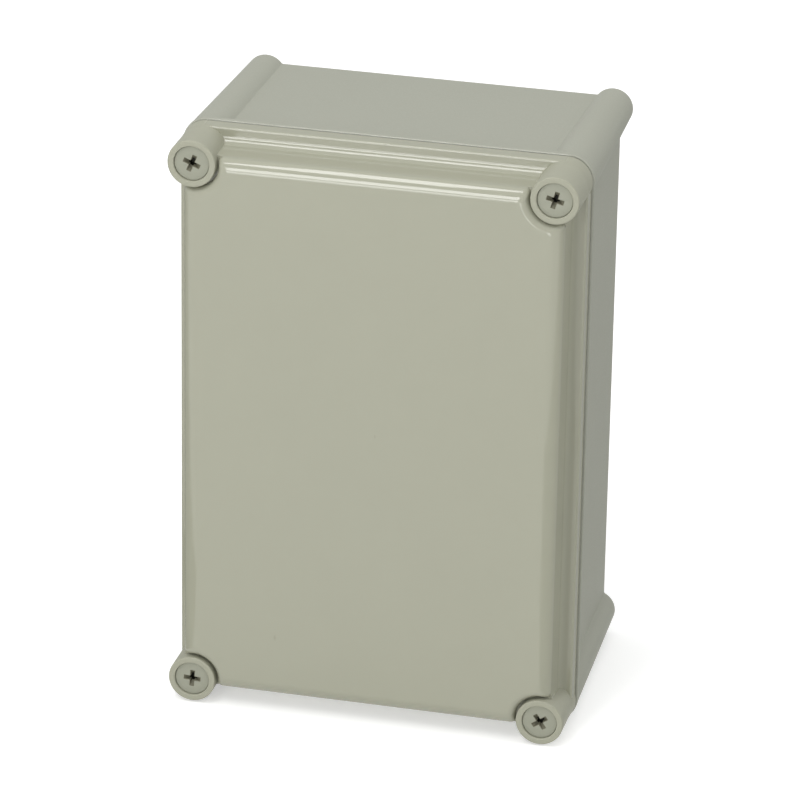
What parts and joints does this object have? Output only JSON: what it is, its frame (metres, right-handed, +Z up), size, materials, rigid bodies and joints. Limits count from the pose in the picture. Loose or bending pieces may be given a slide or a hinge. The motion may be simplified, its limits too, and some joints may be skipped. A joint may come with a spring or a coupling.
{
  "type": "electrical enclosure",
  "caption": "Deep rectangular plastic project box with corner columns, a raised removable cover with a rounded edge, and captive corner screws.",
  "frame": {"origin": "middle of the overall footprint, at the height of the lowest point of the rim on which the box stands", "axes": "+Z up along the 280 mm height, +X to the right seen from the cover, +Y from the cover to the back that goes on a wall"},
  "size_m": [0.19, 0.128, 0.28],
  "materials": {
    "base_plastic": "satin moulded light grey plastic with a fine even texture",
    "cover_plastic": "polished moulded light grey plastic, faintly uneven in reflection",
    "gasket_foam": "soft black sealing cord with a dull skin",
    "screw_plastic": "satin moulded light grey plastic"
  },
  "bodies": {
    "base": {"enclosure_base": "base_plastic"},
    "cover": {"enclosure_cover": "cover_plastic", "cover_gasket": "gasket_foam"},
    "screw_top_left": {"cover_screw_top_left": "screw_plastic"},
    "screw_top_right": {"cover_screw_top_right": "screw_plastic"},
    "screw_bottom_left": {"cover_screw_bottom_left": "screw_plastic"},
    "screw_bottom_right": {"cover_screw_bottom_right": "screw_plastic"}
  },
  "joints": [
    {"name": "cover_lift", "type": "slide", "parent": "base", "child": "cover", "axis": [0, -1, 0], "range_m": [0, 0.06]},
    {"name": "screw_top_left_turn", "type": "hinge", "parent": "cover", "child": "screw_top_left", "pos_m": [-0.083, -0.0636, 0.268], "axis": [0, -1, 0], "range_deg": [0, 1440]},
    {"name": "screw_top_right_turn", "type": "hinge", "parent": "cover", "child": "screw_top_right", "pos_m": [0.083, -0.0636, 0.268], "axis": [0, -1, 0], "range_deg": [0, 1440]},
    {"name": "screw_bottom_left_turn", "type": "hinge", "parent": "cover", "child": "screw_bottom_left", "pos_m": [-0.083, -0.0636, 0.012], "axis": [0, -1, 0], "range_deg": [0, 1440]},
    {"name": "screw_bottom_right_turn", "type": "hinge", "parent": "cover", "child": "screw_bottom_right", "pos_m": [0.083, -0.0636, 0.012], "axis": [0, -1, 0], "range_deg": [0, 1440]}
  ]
}
